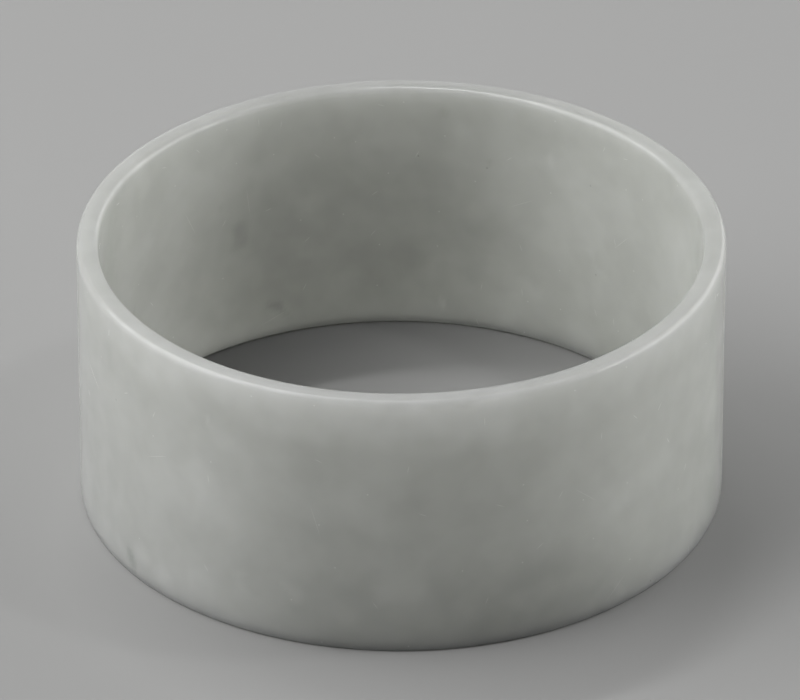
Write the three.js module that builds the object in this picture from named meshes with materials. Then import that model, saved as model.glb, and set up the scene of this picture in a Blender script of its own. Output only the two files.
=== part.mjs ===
// A jade armlet: one broad, thin-walled band of polished stone, open at both ends.
//
// Millimetres, +Z up. The band stands on its foot at Z = 0, and the origin is the middle of the
// foot's outer edge. The band is turned about Z from one section of the wall. What the hand of
// the maker left in it is added afterwards: the ring is a little out of round, and the bore
// drifts sideways on its way down to the foot.
import * as THREE from "three";

// Sizes of the band.
const HEIGHT = 33.3;
const BORE_DIAMETER = 70.9; // at the rim
const BORE_FLARE = 0.4; // how much wider the bore is at the foot
const WALL_RIM = 2.55; // thickness of the wall at the rim
const WALL_FOOT = 2.6; // thickness of the wall at the foot, without the drift of the bore

// Each of the four long edges is ground off a little and softened.
const RIM_BEVEL_OUTER = 0.4;
const RIM_BEVEL_BORE = 0.45;
const FOOT_BEVEL_OUTER = 0.25;
const FOOT_BEVEL_BORE = 0.4;
const BEVEL_STEPS = 4; // straight steps round each softened edge

// What the hand of the maker left.
const OVAL_SWELL = 0.12; // how far the ring bulges along its long axis, and pulls in across it
const OVAL_DIRECTION = THREE.MathUtils.degToRad(43.5); // direction of the long axis, from +X
const BORE_DRIFT_X = -0.9; // sideways drift of the bore at the foot, with none at the rim
const BORE_DRIFT_Y = 0.2;

// Colour and finish of the stone.
const JADE_COLOUR = new THREE.Color().setRGB(0.6, 0.61, 0.59);
const JADE_ROUGHNESS = 0.35;

const TURN_STEPS = 120; // straight steps round the ring

// Radius of the bore and of the outer wall at a height above the foot.
const boreRadius = (z) => (BORE_DIAMETER + BORE_FLARE * (1 - z / HEIGHT)) / 2;
const outerRadius = (z) => boreRadius(z) + THREE.MathUtils.lerp(WALL_FOOT, WALL_RIM, z / HEIGHT);

// The section of the wall as a closed outline of (radius, height) points, going up the outside,
// across the rim, down the bore and back across the foot.
function wallSection() {
  const outerFoot = outerRadius(0);
  const outerRim = outerRadius(HEIGHT);
  const boreRim = boreRadius(HEIGHT);
  const boreFoot = boreRadius(0);
  const outerBevelFrom = HEIGHT - RIM_BEVEL_OUTER;
  const boreBevelFrom = HEIGHT - RIM_BEVEL_BORE;

  // Each edge of the section: a point short of it, the sharp edge itself, and a point past it.
  const edges = [
    [[outerFoot - FOOT_BEVEL_OUTER, 0], [outerFoot, 0], [outerRadius(FOOT_BEVEL_OUTER), FOOT_BEVEL_OUTER]],
    [[outerRadius(outerBevelFrom), outerBevelFrom], [outerRim, HEIGHT], [outerRim - RIM_BEVEL_OUTER, HEIGHT]],
    [[boreRim + RIM_BEVEL_BORE, HEIGHT], [boreRim, HEIGHT], [boreRadius(boreBevelFrom), boreBevelFrom]],
    [[boreRadius(FOOT_BEVEL_BORE), FOOT_BEVEL_BORE], [boreFoot, 0], [boreFoot + FOOT_BEVEL_BORE, 0]],
  ];
  const section = new THREE.Path();
  section.moveTo(...edges[0][0]);
  for (const [before, edge, after] of edges) {
    section.lineTo(...before);
    section.quadraticCurveTo(...edge, ...after);
  }
  section.closePath();
  return section.getPoints(BEVEL_STEPS);
}

// Moves one point of the turned ring to where the maker's hand left it.
function moveByHand(point) {
  const angle = Math.atan2(point.y, point.x);
  const onBoreSide = Math.hypot(point.x, point.y) < (boreRadius(point.z) + outerRadius(point.z)) / 2;

  const swell = OVAL_SWELL * Math.cos(2 * (angle - OVAL_DIRECTION));
  point.x += swell * Math.cos(angle);
  point.y += swell * Math.sin(angle);

  if (onBoreSide) {
    const shareDown = 1 - point.z / HEIGHT;
    point.x += BORE_DRIFT_X * shareDown;
    point.y += BORE_DRIFT_Y * shareDown;
  }
}

function bandGeometry() {
  const geometry = new THREE.LatheGeometry(wallSection(), TURN_STEPS);
  geometry.rotateX(Math.PI / 2);
  const positions = geometry.getAttribute("position");
  const point = new THREE.Vector3();
  for (let i = 0; i < positions.count; i += 1) {
    point.fromBufferAttribute(positions, i);
    moveByHand(point);
    positions.setXYZ(i, point.x, point.y, point.z);
  }
  geometry.computeVertexNormals();
  return geometry;
}

const jade = new THREE.MeshStandardMaterial({ color: JADE_COLOUR, roughness: JADE_ROUGHNESS, metalness: 0 });

const band = new THREE.Mesh(bandGeometry(), jade);
band.name = "armlet";

const armlet = new THREE.Group();
armlet.add(band);

export default armlet;
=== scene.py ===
"""A jade armlet on a pale floor: one broad, thin-walled band of pale, faintly translucent stone.

Metres, +Z up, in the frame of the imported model. Angles round the band are in degrees from +X
towards +Y, so the side that faces the camera is at -90.
"""
import math

import bpy
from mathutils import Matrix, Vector, noise


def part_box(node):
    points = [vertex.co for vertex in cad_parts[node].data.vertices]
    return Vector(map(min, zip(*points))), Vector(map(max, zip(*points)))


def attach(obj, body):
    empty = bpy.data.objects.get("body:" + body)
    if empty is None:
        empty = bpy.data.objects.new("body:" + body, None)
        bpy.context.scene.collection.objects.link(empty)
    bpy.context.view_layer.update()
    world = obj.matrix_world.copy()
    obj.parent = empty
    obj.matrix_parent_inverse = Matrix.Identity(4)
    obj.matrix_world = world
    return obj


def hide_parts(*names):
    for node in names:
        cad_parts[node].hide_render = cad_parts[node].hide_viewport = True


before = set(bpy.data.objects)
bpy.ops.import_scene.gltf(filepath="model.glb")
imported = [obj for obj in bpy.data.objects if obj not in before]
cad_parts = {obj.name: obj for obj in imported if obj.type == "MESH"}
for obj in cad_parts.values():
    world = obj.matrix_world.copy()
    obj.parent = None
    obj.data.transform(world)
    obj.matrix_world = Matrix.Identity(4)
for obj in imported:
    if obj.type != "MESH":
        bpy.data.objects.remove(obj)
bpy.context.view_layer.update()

MM = 0.001

# Sizes of the band. The height and the foot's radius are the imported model's.
LOWEST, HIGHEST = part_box("armlet")
HEIGHT = HIGHEST[2] - LOWEST[2]
FOOT_RADIUS = (HIGHEST[0] - LOWEST[0] + HIGHEST[1] - LOWEST[1]) / 4
NARROWING = 0.25 * MM  # how much smaller the outer radius is at the rim
WALL_RIM = 2.55 * MM
WALL_FOOT = 2.6 * MM

# The four long edges: each is a narrow bevel, rounded into the flats beside it. In mm: its width,
# and how far its roundings reach into the flat before it and after it, going up the outside and
# down the bore.
FOOT_OUTER_EDGE = (0.24, 0.10, 0.10)
RIM_OUTER_EDGE = (0.37, 0.50, 0.20)
RIM_BORE_EDGE = (0.42, 0.60, 0.40)
FOOT_BORE_EDGE = (0.38, 0.12, 0.12)
BEVEL_UNEVENNESS = 0.14  # share by which the width of a bevel wanders round the band

# What the hand of the maker left: an oval ring, a drifting bore and faintly wavy walls.
OVAL_SWELL = 0.12 * MM
OVAL_DIRECTION = math.radians(43.5)
BORE_DRIFT_X = -0.9 * MM
BORE_DRIFT_Y = 0.2 * MM
WALL_WAVE = 0.02 * MM
BORE_WAVE_SEED = 1
OUTSIDE_WAVE_SEED = 4

# Steps of the mesh.
TURN_STEPS = 480
WALL_STEPS = 56
LAND_STEPS = 4
CORNER_STEPS = 6

# Marks in the stone where they lie, and broad zones of painted light and shade: (angle in degrees,
# height in mm, half its width and half its height in mm, tilt in degrees, change of tone). The tilt is
# counterclockwise as seen from outside.
# Broad zones come first in each list and are painted light and shade; the clouds and spots after them
# are the stone's own tone.
OUTSIDE_MARKS_AND_PAINTED_LIGHT = (
    # Painted light and shade: a painted glow under the front rim, painted shade at the front's foot,
    # on the front bevel and over the middle of the front wall.
    (-88.0, 32.5, 60.0, 7.0, 0, 0.20),
    (-76.0, -1.0, 36.0, 16.0, 0, -0.19),
    (-84.0, 33.5, 14.0, 1.6, 0, -0.11),
    (-84.0, 12.0, 25.0, 22.0, 0, -0.08),
    (-127.6, 19.6, 3.4, 3.0, 0, 0.08),
    (-131.0, 17.0, 9.0, 8.0, 0, 0.04),
    (-133.0, 5.0, 9.0, 6.5, 0, 0.045),
    (-136.4, 3.2, 3.4, 2.2, -60, 0.08),
    (-127.0, 4.3, 3.4, 2.4, -40, 0.06),
    (-141.9, 4.0, 1.8, 2.6, 0, 0.09),
    (-145.2, 2.4, 1.2, 1.9, 20, -0.20),
    (-147.8, 7.3, 3.4, 3.6, 0, 0.06),
    (-109.1, 7.0, 1.3, 2.4, 30, 0.06),
    (-119.0, 7.7, 1.0, 1.3, 0, 0.04),
    (-122.5, 29.7, 7.0, 3.4, 0, -0.04),
    (-125.0, 26.4, 1.1, 0.4, -50, 0.09),
    (-66.1, 5.5, 5.0, 2.7, 20, 0.06),
    (-48.4, 2.6, 1.2, 2.6, 30, 0.06),
    (-57.0, 5.6, 3.4, 2.2, 0, 0.04),
    (-90.6, 18.5, 4.5, 4.0, 0, 0.03),
    (-90.6, 8.6, 4.5, 3.2, 0, 0.045),
    (-41.1, 18.3, 7.0, 6.0, 0, 0.04),
)
BORE_MARKS_AND_PAINTED_LIGHT = (
    # Painted shade over the back of the bore, and painted light on its right and its left side.
    (101.0, 13.0, 31.0, 22.0, 0, -0.33),
    (22.0, 21.0, 22.0, 20.0, 0, 0.08),
    (164.0, 12.0, 14.0, 18.0, 0, 0.05),
    (122.5, 15.8, 1.9, 2.9, 0, -0.10),
    (114.2, 4.0, 3.0, 0.9, 45, -0.12),
    (72.5, 24.2, 0.6, 0.5, 0, -0.20),
    (127.4, 20.4, 0.5, 0.5, 0, -0.10),
    (81.9, 29.8, 0.8, 1.4, 0, -0.06),
    (122.2, 27.8, 0.3, 0.25, 0, -0.25),
    (59.1, 26.3, 0.6, 1.9, 0, 0.07),
    (48.6, 25.5, 1.9, 0.6, 0, 0.05),
    (51.4, 22.4, 3.8, 3.2, 0, 0.04),
    (48.0, 14.4, 3.2, 0.6, 35, 0.05),
    (80.2, 3.3, 0.7, 1.1, 0, 0.14),
    (153.4, 13.0, 0.6, 1.6, 0, -0.07),
    (140.0, 28.5, 6.0, 3.6, 0, 0.035),
)
MARK_EDGE = 0.75  # share of a mark's half width over which it fades out
MARK_RAGGEDNESS = 1.0 * MM  # how far the outline of a mark wanders
RAGGEDNESS_SIZE = 2.4 * MM
RAGGEDNESS_SEED = 1795864761  # without a seed the outlines would differ from run to run
CROSSING = (0.08, 0.92)  # shares of the wall's thickness between which one list gives way to the other

# Stretches of the rim that have lost some gloss: (middle and half width in degrees, added roughness).
DULL_STRETCHES = (
    (158.0, 36.0, 0.07),
    (-20.0, 36.0, 0.07),
    (-80.0, 24.0, 0.07),
    (-134.0, 32.0, 0.07),
)
DULL_EDGE = 0.6  # share of a stretch's half width over which it fades out
DULL_FROM = HEIGHT - 2.4 * MM
DULL_FULLY_FROM = HEIGHT - 1.0 * MM

# The stone and its polish.
JADE_COLOUR = (0.56, 0.572, 0.55)
JADE_IOR = 1.61
LIGHT_REACH = 10.0 * MM  # how far light wanders inside the stone
MOTTLE_RAGGEDNESS = 1.0 * MM
POLISH_ROUGHNESS = 0.1  # where the polish is best
POLISH_UNEVENNESS = 0.1  # added roughness where it is poorest
SCRATCH_ROUGHNESS = 0.25  # added roughness in a scratch
RELIEF_DEPTH = 0.02 * MM  # of the faint relief that polishing leaves
RELIEF_STRENGTH = 0.35

# Fine strokes strewn over the walls: (spacing, length and width in mm, share of the cells that hold
# one, change of tone).
SCRATCHES = (6, 1.7, 0.15, 0.2, 0.12)
LONG_SCRATCHES = (17, 7, 0.12, 0.35, 0.045)
PITS = (5.2, 0.28, 0.28, 0.2, 0.35)
DARK_PITS = (11, 0.4, 0.34, 0.25, -0.3)
STROKE_MARGIN = 0.8 * MM  # height over which the strokes fade out at the foot and the rim

# Camera: a long lens that looks down on the band.
CAMERA_ELEVATION = math.radians(30.95)
CAMERA_DISTANCE = 822.5 * MM
CAMERA_AIM = Vector((-0.17 * MM, 0, HEIGHT / 2 + 0.87 * MM))
CAMERA_SENSOR = 36.0  # in mm, as the lens is
CAMERA_LENS = 313.0

# Soft studio lights: (name, direction and elevation in degrees, distance, width, height, watts).
LIGHTS = (
    ("high_left", 180, 42, 0.9, 1.1, 1.0, 7.4),
    ("left_glint", 193, 10, 0.8, 0.36, 0.26, 0.4),
    ("right", 0, 20, 0.9, 1.1, 0.6, 1.65),
    ("right_back", 30, 20, 0.9, 1.2, 0.6, 3.2),
    ("right_glint", 345, 9, 0.8, 0.16, 0.14, 0.45),
    ("top_glint", 111, 68, 0.8, 0.28, 0.03, 0.9),
    ("top_right_glint", 0, 62, 0.8, 0.06, 0.05, 0.3),
)

FLOOR_HALF_WIDTH = 1.5
FLOOR_COLOUR = (0.5, 0.5, 0.495, 1)


def smooth_corner(before, corner, after):
    """Points on the curve that rounds a corner, both of its ends included."""
    points = []
    for step in range(CORNER_STEPS + 1):
        t = step / CORNER_STEPS
        weights = ((1 - t) ** 2, 2 * t * (1 - t), t ** 2)
        points.append(tuple(
            weights[0] * before[axis] + weights[1] * corner[axis] + weights[2] * after[axis]
            for axis in (0, 1)
        ))
    return points


def between(start, end, share):
    return tuple(a + (b - a) * share for a, b in zip(start, end))


def bevel(start, edge, end, sizes):
    """A bevel from start to end that cuts off the sharp edge, rounded into the flats beside it."""
    width, reach_before, reach_after = sizes
    middle = between(start, end, 0.5)
    before = between(start, edge, -reach_before / width)
    after = between(end, edge, -reach_after / width)
    return smooth_corner(before, start, middle) + smooth_corner(middle, end, after)[1:]


def straight(start, end, steps):
    """Points along a straight stretch, without its two ends."""
    return [between(start, end, step / steps) for step in range(1, steps)]


def bore_radius(z):
    rim = FOOT_RADIUS - NARROWING - WALL_RIM
    foot = FOOT_RADIUS - WALL_FOOT
    return foot + (rim - foot) * z / HEIGHT


def outer_radius(z):
    return FOOT_RADIUS - NARROWING * z / HEIGHT


def wander(angle, seed):
    """A slow, even wandering between about -1 and 1 round the band."""
    return (
        0.55 * math.sin(2 * angle + 1.3 * seed)
        + 0.30 * math.sin(5 * angle + 2.9 * seed)
        + 0.15 * math.sin(11 * angle + 0.7 * seed)
    )


def wall_section(angle):
    """The closed section of the wall at an angle, as (radius, height) points: up the outside, across
    the rim, down the bore and back across the foot."""
    kinds = (FOOT_OUTER_EDGE, RIM_OUTER_EDGE, RIM_BORE_EDGE, FOOT_BORE_EDGE)
    widths = [
        kind[0] * MM * (1 + BEVEL_UNEVENNESS * wander(angle, seed)) for seed, kind in enumerate(kinds)
    ]
    foot_outer, rim_outer, rim_bore, foot_bore = widths
    edges = (
        bevel(
            (outer_radius(0) - foot_outer, 0), (outer_radius(0), 0),
            (outer_radius(foot_outer), foot_outer), FOOT_OUTER_EDGE),
        bevel(
            (outer_radius(HEIGHT - rim_outer), HEIGHT - rim_outer), (outer_radius(HEIGHT), HEIGHT),
            (outer_radius(HEIGHT) - rim_outer, HEIGHT), RIM_OUTER_EDGE),
        bevel(
            (bore_radius(HEIGHT) + rim_bore, HEIGHT), (bore_radius(HEIGHT), HEIGHT),
            (bore_radius(HEIGHT - rim_bore), HEIGHT - rim_bore), RIM_BORE_EDGE),
        bevel(
            (bore_radius(foot_bore), foot_bore), (bore_radius(0), 0),
            (bore_radius(0) + foot_bore, 0), FOOT_BORE_EDGE),
    )
    section = []
    for index, edge in enumerate(edges):
        following = edges[(index + 1) % len(edges)]
        steps = WALL_STEPS if index % 2 == 0 else LAND_STEPS
        section += edge + straight(edge[-1], following[0], steps)
    return section


def wave(angle, z, seed):
    """The faint waviness of a hand-ground wall, faded out at the rim and the foot."""
    level = z / HEIGHT
    waves = (
        math.sin(7 * angle + 3 * level + seed)
        + 0.7 * math.sin(13 * angle - 5 * level + 2 * seed)
        + 0.4 * math.sin(4 * angle + 9 * level + 3 * seed)
    )
    return WALL_WAVE * waves * math.sin(math.pi * min(max(level, 0), 1))


def placed(radius, z, angle):
    """Where a point of the section lies in the finished band."""
    on_bore_side = radius < (bore_radius(z) + outer_radius(z)) / 2
    radius += OVAL_SWELL * math.cos(2 * (angle - OVAL_DIRECTION))
    radius += wave(angle, z, BORE_WAVE_SEED if on_bore_side else OUTSIDE_WAVE_SEED)
    x = radius * math.cos(angle)
    y = radius * math.sin(angle)
    if on_bore_side:
        share_down = 1 - z / HEIGHT
        x += BORE_DRIFT_X * share_down
        y += BORE_DRIFT_Y * share_down
    return (x, y, z)


def ease(value, low, high):
    """0 below low and 1 above high, with a smooth passage between them."""
    share = min(max((value - low) / (high - low), 0), 1)
    return share * share * (3 - 2 * share)


def turn_from(degrees, angle):
    """The turn from a direction in degrees to an angle, between -pi and pi."""
    return (angle - math.radians(degrees) + math.pi) % math.tau - math.pi


def tone_of_marks_and_painted_light(marks_and_painted_light, point, angle):
    """How much a list of marks and of painted light and shade changes the tone of the stone at a
    point.
    """
    stray = noise.noise_vector(Vector(point) / RAGGEDNESS_SIZE)
    total = 0.0
    for degrees, height, half_width, half_height, tilt, change in marks_and_painted_light:
        along = turn_from(degrees, angle) * FOOT_RADIUS + stray.x * MARK_RAGGEDNESS
        up = point[2] - height * MM + stray.y * MARK_RAGGEDNESS
        if abs(along) > MM * max(half_width, half_height):
            continue
        lean = math.radians(tilt)
        across = (along * math.cos(lean) + up * math.sin(lean)) / (half_width * MM)
        over = (up * math.cos(lean) - along * math.sin(lean)) / (half_height * MM)
        total += change * ease(1 - math.hypot(across, over), 0, MARK_EDGE)
    return total


def tone_at(point, radius, angle):
    """The change of tone at a point, painted light and shade included: the outside's marks fade into
    the bore's across rim and foot.
    """
    outer = outer_radius(point[2])
    inward = ease((outer - radius) / (outer - bore_radius(point[2])), *CROSSING)
    tone = 0.0
    if inward < 1:
        tone += (1 - inward) * tone_of_marks_and_painted_light(OUTSIDE_MARKS_AND_PAINTED_LIGHT, point, angle)
    if inward > 0:
        tone += inward * tone_of_marks_and_painted_light(BORE_MARKS_AND_PAINTED_LIGHT, point, angle)
    return tone


def dullness(angle, z):
    """How much roughness is added at a point: none away from the rim."""
    total = 0.0
    for degrees, half_width, roughness in DULL_STRETCHES:
        share = abs(turn_from(degrees, angle)) / math.radians(half_width)
        total += roughness * ease(1 - share, 0, DULL_EDGE)
    return total * ease(z, DULL_FROM, DULL_FULLY_FROM)


def add_object(name, data):
    thing = bpy.data.objects.new(name, data)
    bpy.context.collection.objects.link(thing)
    return thing


def make_band():
    noise.seed_set(RAGGEDNESS_SEED)
    vertices = []
    tones = []
    dulls = []
    for turn in range(TURN_STEPS):
        angle = 2 * math.pi * turn / TURN_STEPS
        section = wall_section(angle)
        for radius, z in section:
            point = placed(radius, z, angle)
            vertices.append(point)
            tones.append(tone_at(point, radius, angle))
            dulls.append(dullness(angle, z))
    count = len(section)
    faces = []
    for turn in range(TURN_STEPS):
        here = turn * count
        there = (turn + 1) % TURN_STEPS * count
        for point in range(count):
            after = (point + 1) % count
            faces.append((here + point, there + point, there + after, here + after))
    mesh = bpy.data.meshes.new("jade_band")
    mesh.from_pydata(vertices, [], faces)
    mesh.shade_smooth()
    # The tone attribute carries the stone's marks together with the painted light and shade of the
    # broad zones.
    for name, values in (("tone", tones), ("dull", dulls)):
        mesh.attributes.new(name, "FLOAT", "POINT").data.foreach_set("value", values)
    mesh.materials.append(make_jade())
    return add_object("jade_band", mesh)


class Nodes:
    """A node tree of one material, with short calls for the nodes that it needs."""

    def __init__(self, material):
        material.use_nodes = True
        self.tree = material.node_tree
        self.shader = self.tree.nodes["Principled BSDF"]
        self.place = self.add("ShaderNodeTexCoord").outputs["Object"]

    def add(self, kind, **settings):
        node = self.tree.nodes.new(kind)
        for name, value in settings.items():
            setattr(node, name, value)
        return node

    def link(self, value, socket):
        if isinstance(value, bpy.types.NodeSocket):
            self.tree.links.new(value, socket)
        else:
            socket.default_value = value

    def attribute(self, name):
        return self.add("ShaderNodeAttribute", attribute_name=name).outputs["Fac"]

    def math(self, operation, first, second=0.0, third=0.0):
        node = self.add("ShaderNodeMath", operation=operation)
        for value, socket in zip((first, second, third), node.inputs):
            self.link(value, socket)
        return node.outputs[0]

    def vector(self, operation, first, second):
        node = self.add("ShaderNodeVectorMath", operation=operation)
        self.link(first, node.inputs[0])
        self.link(second, node.inputs[1])
        return node.outputs[0]

    def noise(self, scale, detail, roughness=0.5, output="Fac", place=None):
        node = self.add("ShaderNodeTexNoise")
        self.link(place or self.place, node.inputs["Vector"])
        node.inputs["Scale"].default_value = scale
        node.inputs["Detail"].default_value = detail
        node.inputs["Roughness"].default_value = roughness
        return node.outputs[output]

    def ease(self, value, low, high, low_out=0.0, high_out=1.0):
        """value from low to high, eased into low_out to high_out."""
        node = self.add("ShaderNodeMapRange", interpolation_type="SMOOTHSTEP")
        numbers = (value, low, high, low_out, high_out)
        for number, name in zip(numbers, ("Value", "From Min", "From Max", "To Min", "To Max")):
            self.link(number, node.inputs[name])
        return node.outputs["Result"]

    def sum(self, values):
        total = values[0]
        for value in values[1:]:
            total = self.math("ADD", total, value)
        return total


def unrolled(nodes):
    """The wall rolled out flat, as (arc length, height), with the outside set apart from the bore,
    and a mask that is 1 on the walls and fades out at the foot and the rim."""
    parts = nodes.add("ShaderNodeSeparateXYZ")
    nodes.link(nodes.place, parts.inputs[0])
    x, y, z = parts.outputs
    turn = nodes.math("ARCTAN2", y, x)
    x_squared = nodes.math("MULTIPLY", x, x)
    y_squared = nodes.math("MULTIPLY", y, y)
    radius = nodes.math("SQRT", nodes.math("ADD", x_squared, y_squared))
    outside = nodes.math("GREATER_THAN", radius, (bore_radius(0) + outer_radius(0)) / 2)
    flat = nodes.add("ShaderNodeCombineXYZ")
    nodes.link(nodes.math("MULTIPLY_ADD", turn, FOOT_RADIUS, outside), flat.inputs[0])
    nodes.link(z, flat.inputs[1])
    above_foot = nodes.ease(z, 0, STROKE_MARGIN)
    below_rim = nodes.ease(z, HEIGHT - STROKE_MARGIN, HEIGHT, 1, 0)
    return flat.outputs[0], nodes.math("MULTIPLY", above_foot, below_rim)


def strokes(nodes, flat, kind):
    """Short straight strokes, strewn at random: one in each of a share of the cells of a net."""
    spacing, length, width, share = kind[:4]
    cells = nodes.add("ShaderNodeTexVoronoi", voronoi_dimensions="2D")
    nodes.link(flat, cells.inputs["Vector"])
    cells.inputs["Scale"].default_value = 1 / (spacing * MM)
    chance = nodes.add("ShaderNodeSeparateColor")
    nodes.link(cells.outputs["Color"], chance.inputs[0])
    turned = nodes.add("ShaderNodeVectorRotate", rotation_type="Z_AXIS")
    nodes.link(nodes.vector("SUBTRACT", flat, cells.outputs["Position"]), turned.inputs["Vector"])
    nodes.link(nodes.math("MULTIPLY", chance.outputs[0], math.tau), turned.inputs["Angle"])
    across = nodes.add("ShaderNodeSeparateXYZ")
    nodes.link(turned.outputs[0], across.inputs[0])
    along = nodes.ease(nodes.math("ABSOLUTE", across.outputs[0]), 0, length * MM / 2, 1, 0)
    over = nodes.ease(nodes.math("ABSOLUTE", across.outputs[1]), 0, width * MM / 2, 1, 0)
    chosen = nodes.math("LESS_THAN", chance.outputs[1], share)
    return nodes.math("MULTIPLY", nodes.math("MULTIPLY", along, over), chosen)


def make_jade():
    """Translucent stone. The first number of each noise is its waves per metre, and the last two of
    each ease are changes of tone, as shares of the stone's colour."""
    material = bpy.data.materials.new("jade_stone")
    nodes = Nodes(material)
    shader = nodes.shader

    stray = nodes.vector("SUBTRACT", nodes.noise(420, 1, output="Color"), (0.5, 0.5, 0.5))
    stray = nodes.vector("MULTIPLY", stray, (MOTTLE_RAGGEDNESS,) * 3)
    ragged_place = nodes.vector("ADD", nodes.place, stray)

    clouds = nodes.ease(nodes.noise(48, 3, 0.58), 0.28, 0.72, -0.06, 0.06)
    mottle = nodes.ease(nodes.noise(170, 2, 0.6, place=ragged_place), 0.3, 0.7, -0.032, 0.032)
    shifted = nodes.vector("ADD", ragged_place, (0.31, 0.17, 0.23))
    wisps = nodes.noise(95, 2, 0.55, place=shifted)
    pale_wisps = nodes.ease(wisps, 0.52, 0.8, 0, 0.08)
    dark_smudges = nodes.ease(wisps, 0.2, 0.42, -0.045, 0)

    flat, on_wall_only = unrolled(nodes)
    elsewhere = nodes.vector("ADD", flat, (3.7, 0, 0))
    scratches = strokes(nodes, flat, SCRATCHES)
    long_scratches = strokes(nodes, flat, LONG_SCRATCHES)
    fine_strokes = nodes.math("MULTIPLY", nodes.sum([
        nodes.math("MULTIPLY", scratches, SCRATCHES[4]),
        nodes.math("MULTIPLY", long_scratches, LONG_SCRATCHES[4]),
        nodes.math("MULTIPLY", strokes(nodes, flat, PITS), PITS[4]),
        nodes.math("MULTIPLY", strokes(nodes, elsewhere, DARK_PITS), DARK_PITS[4]),
    ]), on_wall_only)

    # The tone attribute: the stone's marks with painted light and shade in them (a painted glow under
    # the front rim, painted shade in the back of the bore).
    marks_and_painted_light = nodes.attribute("tone")
    tone = nodes.sum([1.0, clouds, mottle, pale_wisps, dark_smudges, fine_strokes, marks_and_painted_light])
    colour = nodes.add("ShaderNodeVectorMath", operation="SCALE")
    colour.inputs[0].default_value = JADE_COLOUR
    nodes.link(tone, colour.inputs["Scale"])
    nodes.link(colour.outputs[0], shader.inputs["Base Color"])

    unevenness = nodes.noise(120, 2, 0.6)
    polish = nodes.math("MULTIPLY_ADD", unevenness, POLISH_UNEVENNESS, POLISH_ROUGHNESS)
    dulled = nodes.math("ADD", polish, nodes.attribute("dull"))
    worn = nodes.math("MULTIPLY", nodes.math("ADD", scratches, long_scratches), on_wall_only)
    roughness = nodes.math("MULTIPLY_ADD", worn, SCRATCH_ROUGHNESS, dulled)
    nodes.link(roughness, shader.inputs["Roughness"])

    bump = nodes.add("ShaderNodeBump")
    bump.inputs["Strength"].default_value = RELIEF_STRENGTH
    bump.inputs["Distance"].default_value = RELIEF_DEPTH
    nodes.link(nodes.noise(400, 2, 0.6), bump.inputs["Height"])
    nodes.link(bump.outputs["Normal"], shader.inputs["Normal"])

    shader.inputs["IOR"].default_value = JADE_IOR
    shader.inputs["Specular IOR Level"].default_value = 0.5
    shader.subsurface_method = "RANDOM_WALK"
    shader.inputs["Subsurface Weight"].default_value = 1.0
    shader.inputs["Subsurface Radius"].default_value = (1.0, 1.0, 0.94)
    shader.inputs["Subsurface Scale"].default_value = LIGHT_REACH
    return material


def make_floor():
    half = FLOOR_HALF_WIDTH
    corners = [(-half, -half, 0), (half, -half, 0), (half, half, 0), (-half, half, 0)]
    mesh = bpy.data.meshes.new("floor")
    mesh.from_pydata(corners, [], [(0, 1, 2, 3)])
    material = bpy.data.materials.new("floor")
    material.use_nodes = True
    shader = material.node_tree.nodes["Principled BSDF"]
    shader.inputs["Base Color"].default_value = FLOOR_COLOUR
    shader.inputs["Roughness"].default_value = 0.9
    shader.inputs["Specular IOR Level"].default_value = 0.1
    mesh.materials.append(material)
    add_object("floor", mesh)


def direction_to(azimuth, elevation):
    """The unit vector towards an azimuth and an elevation, both in radians."""
    return Vector((
        math.cos(elevation) * math.cos(azimuth),
        math.cos(elevation) * math.sin(azimuth),
        math.sin(elevation),
    ))


def aim(thing, target):
    thing.rotation_euler = (target - thing.location).to_track_quat("-Z", "Y").to_euler()


def make_camera():
    camera = add_object("camera", bpy.data.cameras.new("camera"))
    camera.data.sensor_width = CAMERA_SENSOR
    camera.data.lens = CAMERA_LENS
    camera.data.clip_start = 0.01
    camera.location = (
        0,
        -CAMERA_DISTANCE * math.cos(CAMERA_ELEVATION),
        HEIGHT / 2 + CAMERA_DISTANCE * math.sin(CAMERA_ELEVATION),
    )
    aim(camera, CAMERA_AIM)
    bpy.context.scene.camera = camera


def make_lights():
    """The area lights, in an otherwise dark world."""
    middle = Vector((0, 0, HEIGHT / 2))
    for name, azimuth, elevation, distance, width, height, watts in LIGHTS:
        data = bpy.data.lights.new(name, "AREA")
        data.shape = "RECTANGLE"
        data.size = width
        data.size_y = height
        data.energy = watts
        light = add_object(name, data)
        towards = direction_to(math.radians(azimuth), math.radians(elevation))
        light.location = middle + distance * towards
        aim(light, middle)
    world = bpy.data.worlds.new("studio")
    world.use_nodes = True
    world.node_tree.nodes["Background"].inputs["Strength"].default_value = 0.0
    bpy.context.scene.world = world


bpy.context.scene.view_settings.view_transform = "Standard"

make_camera()
band = make_band()
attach(band, "root")
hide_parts("armlet")
make_floor()
make_lights()
